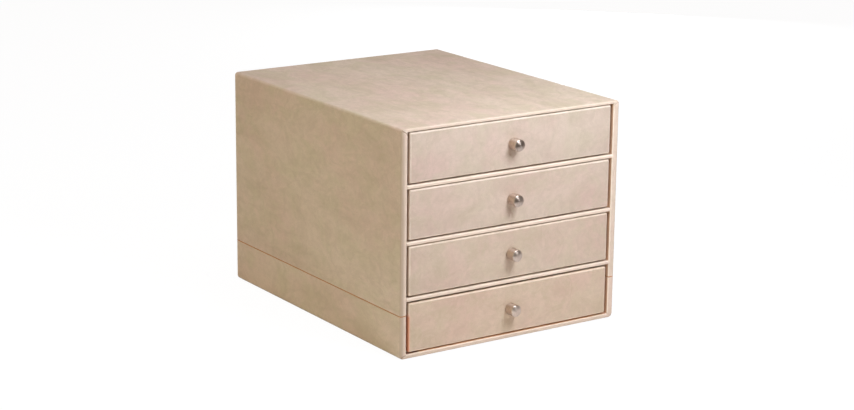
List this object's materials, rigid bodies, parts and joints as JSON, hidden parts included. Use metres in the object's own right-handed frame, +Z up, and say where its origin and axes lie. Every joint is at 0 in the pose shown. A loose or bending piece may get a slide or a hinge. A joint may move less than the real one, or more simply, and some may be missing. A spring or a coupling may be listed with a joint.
{
  "type": "desktop mini drawers",
  "caption": "Free-standing desk case covered in pale leatherette, with stacked shallow drawers that slide out on small turned metal knobs.",
  "frame": {"origin": "middle of the case's footprint, on the face that rests on the desk", "axes": "+Z up, -Y out of the drawer fronts, +X to their right"},
  "size_m": [0.26, 0.3346, 0.2276],
  "materials": {
    "leatherette": "soft matt mottled leatherette",
    "board": "raw greyboard",
    "case_paper": "matt russet paper",
    "tray_paper": "matt lining paper with a fine linen emboss",
    "base_paper": "matt felted paper",
    "thread": "waxed orange thread",
    "knob_metal": "turned and brushed",
    "screw_steel": "zinc plated"
  },
  "bodies": {
    "case": {"left_board": "board", "right_board": "board", "top_board": "board", "bottom_board": "board", "back_board": "board", "upper_cover": "leatherette", "lower_cover": "leatherette", "seam_thread": "thread", "back_cover": "leatherette", "case_lining": "case_paper", "base_sheet": "base_paper", "shelf_1": "board", "shelf_1_cover": "leatherette", "shelf_2": "board", "shelf_2_cover": "leatherette", "shelf_3": "board", "shelf_3_cover": "leatherette"},
    "drawer_1": {"drawer_1_front_board": "board", "drawer_1_front_cover": "leatherette", "drawer_1_left_side": "board", "drawer_1_right_side": "board", "drawer_1_back": "board", "drawer_1_bottom": "board", "drawer_1_tray_cover": "leatherette", "drawer_1_lining": "tray_paper", "drawer_1_knob": "knob_metal", "drawer_1_screw": "screw_steel"},
    "drawer_2": {"drawer_2_front_board": "board", "drawer_2_front_cover": "leatherette", "drawer_2_left_side": "board", "drawer_2_right_side": "board", "drawer_2_back": "board", "drawer_2_bottom": "board", "drawer_2_tray_cover": "leatherette", "drawer_2_lining": "tray_paper", "drawer_2_knob": "knob_metal", "drawer_2_screw": "screw_steel"},
    "drawer_3": {"drawer_3_front_board": "board", "drawer_3_front_cover": "leatherette", "drawer_3_left_side": "board", "drawer_3_right_side": "board", "drawer_3_back": "board", "drawer_3_bottom": "board", "drawer_3_tray_cover": "leatherette", "drawer_3_lining": "tray_paper", "drawer_3_knob": "knob_metal", "drawer_3_screw": "screw_steel"},
    "drawer_4": {"drawer_4_front_board": "board", "drawer_4_front_cover": "leatherette", "drawer_4_left_side": "board", "drawer_4_right_side": "board", "drawer_4_back": "board", "drawer_4_bottom": "board", "drawer_4_tray_cover": "leatherette", "drawer_4_lining": "tray_paper", "drawer_4_knob": "knob_metal", "drawer_4_screw": "screw_steel"}
  },
  "joints": [
    {"name": "drawer_1_slide", "type": "slide", "parent": "case", "child": "drawer_1", "axis": [0, -1, 0], "range_m": [0, 0.25]},
    {"name": "drawer_2_slide", "type": "slide", "parent": "case", "child": "drawer_2", "axis": [0, -1, 0], "range_m": [0, 0.25]},
    {"name": "drawer_3_slide", "type": "slide", "parent": "case", "child": "drawer_3", "axis": [0, -1, 0], "range_m": [0, 0.25]},
    {"name": "drawer_4_slide", "type": "slide", "parent": "case", "child": "drawer_4", "axis": [0, -1, 0], "range_m": [0, 0.25]}
  ]
}
